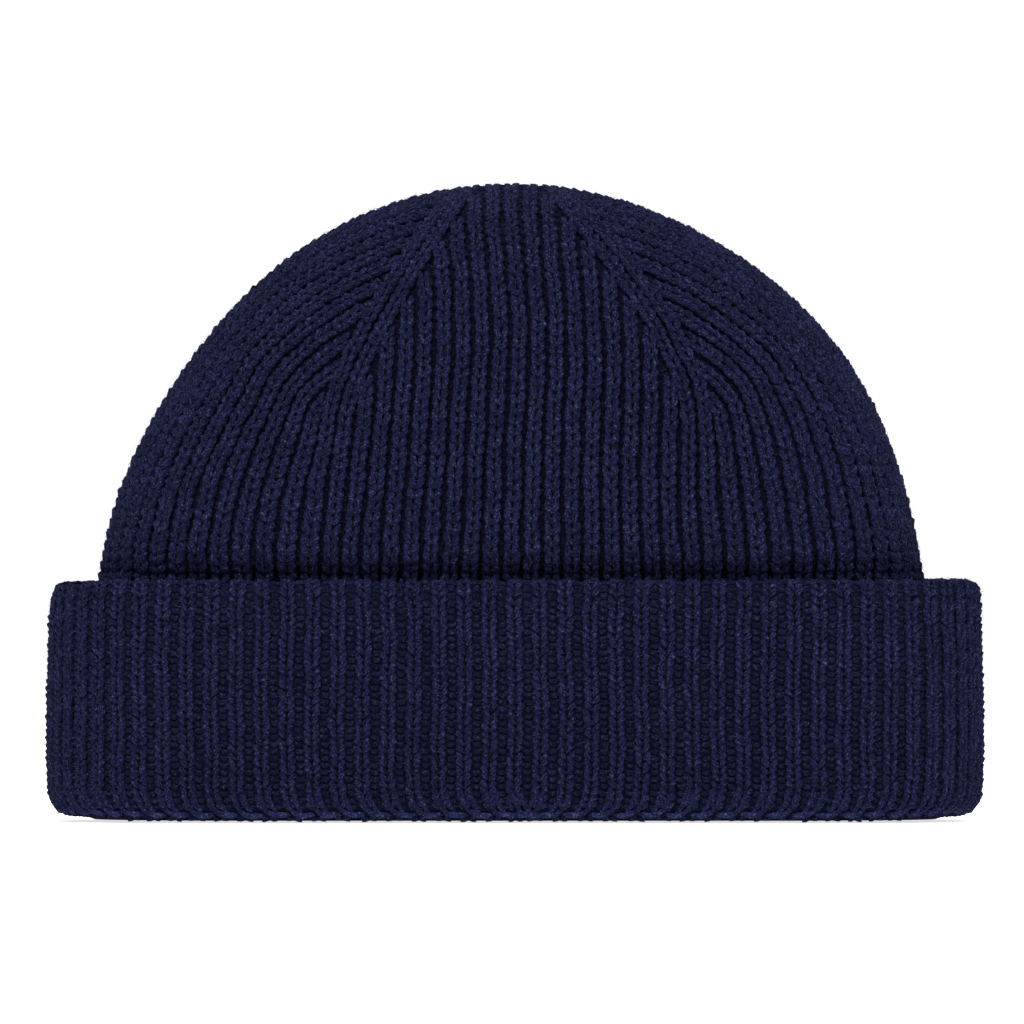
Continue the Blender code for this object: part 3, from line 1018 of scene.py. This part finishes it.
cuff_stitch_height = 0.00175
cuff_yarn_radius = 0.00078
cuff_leg_spread = 0.00138
cuff_crest_depth = 0.00072
edge_stitch_height = 0.00190
edge_yarn_radius = 0.00080
edge_leg_spread = 0.00146
edge_start = 0.0565
edge_depth = 0.0008
fold_end = 0.0014
fold_depth = 0.0008
cuff_fibres = 5
cuff_tones = 0.20
cuff_sizes = 0.08
cuff_yarn = plied_yarn("cuff_yarn", (0.0013, 0.0018, 0.0062), (0.0115, 0.0138, 0.0550),
                       (0.052, 0.060, 0.140))
edge_row = int(np.argmax(section[:, 1] > edge_start))
fold_row = int(np.argmax(section[:, 1] > fold_end))
cuff_stitches = v_stitches("cuff_stitch", cuff_leg_spread, cuff_stitch_height, cuff_yarn_radius,
                           (0.0, 1.0, -1.0, 0.5, -0.5, 0.0), cuff_fibres, 10)
edge_stitches = v_stitches("edge_stitch", edge_leg_spread, edge_stitch_height, edge_yarn_radius,
                           (0.4, -0.4, 0.8), cuff_fibres, 20)
fold_stitches = v_stitches("fold_stitch", cuff_leg_spread, cuff_stitch_height, cuff_yarn_radius,
                           (0.0, 0.6, -0.6), 0, 50)


def knit_cuff(word, every, depth, rows, pitch, stitches, yarn, looseness, seed):
    """Knit the front and the back of one kind of stitch on the cuff, over rows of its section."""
    parts = {"cuff_" + word + "_" + side: [] for side in ("front", "back")}
    for column in range(every, cuff_columns + 1, 2):
        points, normals = [line[rows] for line in cuff_line(column, depth)]
        for flip in quarter_flips(column, cuff_columns):
            turned = settled(drifted(points * flip, normals * flip, rib_drift))
            places = rib_places(turned, normals * flip, np.ones(len(points)), pitch, 0.0)
            parts["cuff_" + word + "_" + ("front" if flip[1] > 0.0 else "back")].append(places)
    for name, groups in parts.items():
        seed += 1
        places = sized(groups, 1.0, pitch, cuff_sizes, seed)
        stitched = knit(name, places, stitches, yarn, looseness, cuff_tones, seed)
        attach(stitched, "root")


rib_rows = slice(rib_end_row, edge_row)
edge_rows = slice(edge_row, len(section))
knit_cuff("ribs", 0, cuff_crest_depth, rib_rows, cuff_stitch_height, cuff_stitches,
          cuff_yarn, looseness=0.16, seed=20)
knit_cuff("edge", 0, edge_depth, edge_rows, edge_stitch_height, edge_stitches,
          cuff_yarn, looseness=0.12, seed=24)
knit_cuff("fold", 0, fold_depth, slice(0, fold_row), cuff_stitch_height, fold_stitches,
          cuff_yarn, looseness=0.10, seed=28)


# Cuff valleys
# Between the cuff's ribs the yarn shows as a ladder of small rounded bumps, one to each course.

cuff_bar_radius = 0.00088
cuff_bar_depth = 0.00128
edge_bar_depth = 0.0014
edge_bar_radius = 0.00062
bar_fibres = 3
cuff_bar_width = 0.92
edge_bar_width = 0.90
# The ladder wears a darker copy of the cuff's yarn: painted shade for the valleys between the ribs.
valley_yarn = plied_yarn("valley_yarn", (0.0013, 0.0018, 0.0062), (0.0084, 0.0104, 0.0390),
                         (0.036, 0.042, 0.099))
cuff_bars, edge_bars = [
    stitch_box(word + "_bars", [
        bar_stitch(word + "_bar_" + str(kind), width * half_rib, radius, bar_fibres, seed + kind)
        for kind in range(kinds)])
    for word, width, radius, seed, kinds in (("cuff", cuff_bar_width, cuff_bar_radius, 30, 4),
                                             ("edge", edge_bar_width, edge_bar_radius, 40, 2))]
knit_cuff("valleys", 1, cuff_bar_depth, rib_rows, cuff_stitch_height, cuff_bars,
          valley_yarn, looseness=0.22, seed=32)
knit_cuff("edge_valleys", 1, edge_bar_depth, edge_rows, edge_stitch_height, edge_bars,
          valley_yarn, looseness=0.15, seed=36)


# Hem
# At the fold the stitches open: from each rib a strand runs slanting down to the edge and along
# it, and a shorter one ends behind it, with dark gaps between.

strand_radius = 0.00072
hem_sides = 6
hem_vary = (0.00022, 0.00018)


def yarn_tree(name):
    """A node tree that lays round yarn along the edges of a mesh, as thick as each point says."""
    tree, given, result = new_tree(name, (("Geometry", "Geometry"), ("Sides", "Int"),
                                          ("Yarn", "Material")))
    lines = add_node(tree, "GeometryNodeMeshToCurve", {"Mesh": given["Geometry"]})
    ring = add_node(tree, "GeometryNodeCurvePrimitiveCircle", {
        "Resolution": given["Sides"], "Radius": 1.0})
    tube = add_node(tree, "GeometryNodeCurveToMesh", {
        "Curve": lines.outputs["Curve"], "Profile Curve": ring.outputs["Curve"],
        "Scale": named(tree, "FLOAT", "thickness"), "Fill Caps": True})
    rounded = add_node(tree, "GeometryNodeSetShadeSmooth", {"Geometry": tube.outputs["Mesh"]})
    end_tree(tree, rounded.outputs["Geometry"], given["Yarn"], result)
    return tree


yarn_on_lines = yarn_tree("yarn_on_lines")


def lay_yarn(name, lines, radii, tones_and_highlight, yarn):
    """Lay a strand along each line of points."""
    vertices = [point for line in lines for point in line]
    edges = []
    start = 0
    for line in lines:
        edges += [(start + step, start + step + 1) for step in range(len(line) - 1)]
        start += len(line)
    holder = add_piece(name, vertices, [], edges)
    hold(holder, "FLOAT", "thickness", np.concatenate(radii))
    # The tone scales the yarn's colour; above 1, on the hem's edge line, it is a painted highlight.
    hold(holder, "FLOAT", "tone", np.concatenate(tones_and_highlight))
    return run_tree(holder, yarn_on_lines, {"Sides": hem_sides, "Yarn": yarn})


# Across in ribs towards the middle, height, depth under the outer face, thickness and tone; a tone
# above 1 is a painted highlight where the fold's edge line catches the light
long_strand = (
    (-0.14, 0.0082, 0.0014, 0.75, 0.9), (-0.09, 0.0068, 0.0007, 1.0, 0.9),
    (-0.03, 0.0056, 0.0005, 0.95, 0.9), (0.06, 0.0044, 0.0005, 0.9, 0.9),
    (0.18, 0.0032, 0.0005, 0.9, 1.1), (0.38, 0.0024, 0.0005, 1.05, 1.5),
    (0.62, 0.0020, 0.0004, 1.15, 1.8), (0.90, 0.0021, 0.0004, 1.1, 1.7),
    (1.10, 0.0024, 0.0009, 0.6, 1.2),
)
short_strand = (
    (0.26, 0.0080, 0.0014, 0.75, 0.9), (0.28, 0.0066, 0.0008, 1.0, 0.9),
    (0.34, 0.0054, 0.0007, 1.0, 1.0), (0.41, 0.0044, 0.0007, 0.95, 1.0),
    (0.50, 0.0035, 0.0008, 0.9, 1.1), (0.60, 0.0027, 0.0010, 0.8, 1.1),
)
lines = []
radii = []
tones_and_highlight = []
fold_up = slice(int(np.argmin(section[:, 1])), len(section) // 2)


def hem_point(arc, height, depth, through):
    """A point near the hem, at an arc distance from the front's centre line."""
    side = 1.0 if arc >= 0.0 else -1.0
    distance = abs(arc)
    if distance > full_arc:
        distance = 2.0 * full_arc - distance
        through = -through
    plan, out = on_plan(distance)
    inset = np.interp(height, section[fold_up, 1], section[fold_up, 0]) + depth
    x, y, _ = plan - out * inset
    return settled(np.array([x * side, y * through, height]))


rib_pitch = 2.0 * half_rib
last_rib = cuff_columns // 2
for through in (1.0, -1.0):
    for rib in range(-last_rib, last_rib + 1):
        if through < 0.0 and abs(rib) == last_rib:
            continue
        inward = -1.0 if rib > 0 or (rib == 0 and through < 0.0) else 1.0
        for strand in (np.array(long_strand), np.array(short_strand)):
            line = []
            for across, height, depth in strand[:, :3]:
                arc = (rib + inward * across) * rib_pitch
                vary = chance.uniform(-1.0, 1.0, 2) * hem_vary
                line.append(hem_point(arc + vary[0], height + vary[1], depth, through))
            lines.append(line)
            radii.append(strand[:, 3] * strand_radius)
            tones_and_highlight.append(strand[:, 4])
hem_strands = lay_yarn("hem_strands", lines, radii, tones_and_highlight, cuff_yarn)
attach(hem_strands, "root")


# Floor and light
# A wide white table that glows a little, so that the hat throws no hard shadow, in a soft white
# room, with three round soft lights: a key from the front, a fill from the right, one from above.

floor_reach = 9.0
table_glow = 0.70
room_light = 0.45
backdrop_light = 1.05
corners = [(x * floor_reach, y * floor_reach, 0.0)
           for x, y in ((-1.0, -1.0), (1.0, -1.0), (1.0, 1.0), (-1.0, 1.0))]
floor = add_piece("floor", corners, [(0, 1, 2, 3)])
table_top = bpy.data.materials.new("white_table")
table_top.use_nodes = True
white_shader = table_top.node_tree.nodes["Principled BSDF"]
set_inputs(table_top.node_tree, white_shader, {
    "Base Color": (0.9, 0.9, 0.9, 1.0), "Roughness": 0.9,
    "Emission Color": (1.0, 1.0, 1.0, 1.0), "Emission Strength": table_glow})
floor.data.materials.append(table_top)

world = bpy.data.worlds.new("soft_room")
world.use_nodes = True
seen = add_node(world.node_tree, "ShaderNodeLightPath", {}).outputs["Is Camera Ray"]
bright = add_node(world.node_tree, "ShaderNodeMapRange", {
    "Value": seen, "To Min": room_light, "To Max": backdrop_light}).outputs["Result"]
set_inputs(world.node_tree, world.node_tree.nodes["Background"], {
    "Color": (1.0, 1.0, 1.0, 1.0), "Strength": bright})
bpy.context.scene.world = world


def add_softbox(name, place, target, size, power):
    """A round soft light at a place, turned to a target."""
    light = bpy.data.lights.new(name, "AREA")
    light.shape = "DISK"
    light.size = size
    light.energy = power
    lamp = bpy.data.objects.new(name, light)
    lamp.location = place
    lamp.rotation_euler = (Vector(target) - Vector(place)).to_track_quat("-Z", "Y").to_euler()
    bpy.context.scene.collection.objects.link(lamp)


hat_middle = (0.0, 0.0, 0.5 * top_height)
add_softbox("key", (-0.35, -1.5, 1.7), hat_middle, 1.1, 48.0)
add_softbox("fill", (1.2, -1.6, 0.9), hat_middle, 1.0, 12.0)
add_softbox("top_light", (0.0, 0.9, 2.0), hat_middle, 1.4, 40.0)

# The camera looks straight at the front, about level with the hat's middle, through a long lens
picture_width = 0.256
sensor_width = 36.0
camera_distance = 5.0
camera_aside = -0.00075
camera_height = 0.07725
lens = bpy.data.cameras.new("camera")
lens.sensor_width = sensor_width
lens.lens = sensor_width * camera_distance / picture_width
camera = bpy.data.objects.new("camera", lens)
camera.location = (camera_aside, -camera_distance, camera_height)
camera.rotation_euler = (0.5 * math.pi, 0.0, 0.0)
bpy.context.scene.collection.objects.link(camera)
bpy.context.scene.camera = camera
bpy.context.scene.view_settings.view_transform = "Standard"
